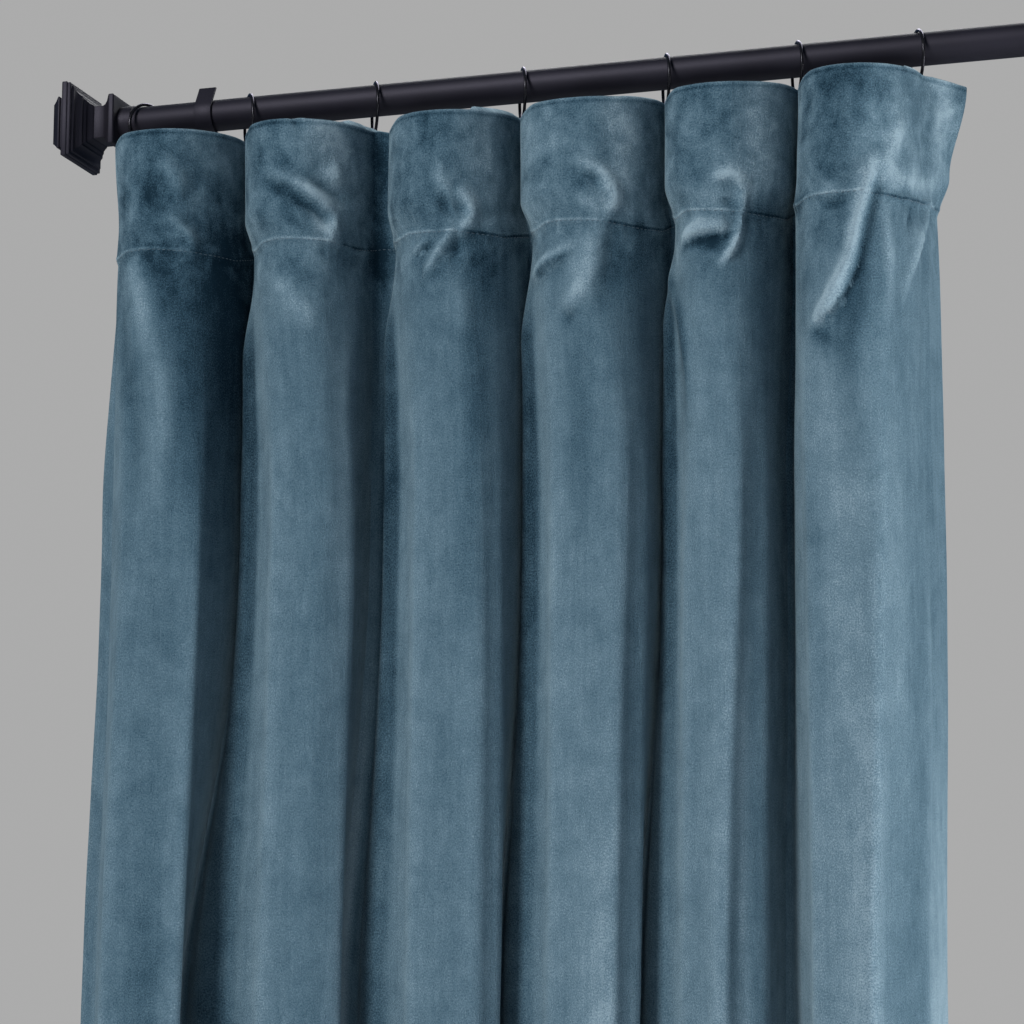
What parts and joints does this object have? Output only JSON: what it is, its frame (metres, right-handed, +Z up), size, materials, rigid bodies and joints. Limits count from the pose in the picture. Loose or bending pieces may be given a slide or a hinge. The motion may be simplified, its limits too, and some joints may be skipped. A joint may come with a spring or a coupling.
{
  "type": "velvet drape on a curtain rod with rings",
  "caption": "Velvet drape with a deep flat stitched heading, hung in soft folds by thin wire rings from a black rod with square stepped finials and strap brackets.",
  "frame": {"origin": "middle of the back face of the left bracket's wall plate, where it lies on the wall", "axes": "+X along the rod to the right as seen from the room, +Y into the wall, +Z up"},
  "size_m": [1.0522, 0.1892, 2.2064],
  "materials": {
    "velvet": "short cut pile, soft sheen",
    "black_metal": "satin black paint",
    "black_wire": "semi-gloss black"
  },
  "bodies": {
    "root": {"drape": "velvet", "rod": "black_metal", "finial_left": "black_metal", "finial_right": "black_metal", "bracket_left": "black_metal", "bracket_right": "black_metal", "ring_0": "black_wire", "ring_1": "black_wire", "ring_2": "black_wire", "ring_3": "black_wire", "ring_4": "black_wire", "ring_5": "black_wire", "ring_6": "black_wire", "hook_0": "black_wire", "hook_1": "black_wire", "hook_2": "black_wire", "hook_3": "black_wire", "hook_4": "black_wire", "hook_5": "black_wire", "hook_6": "black_wire"}
  },
  "joints": []
}
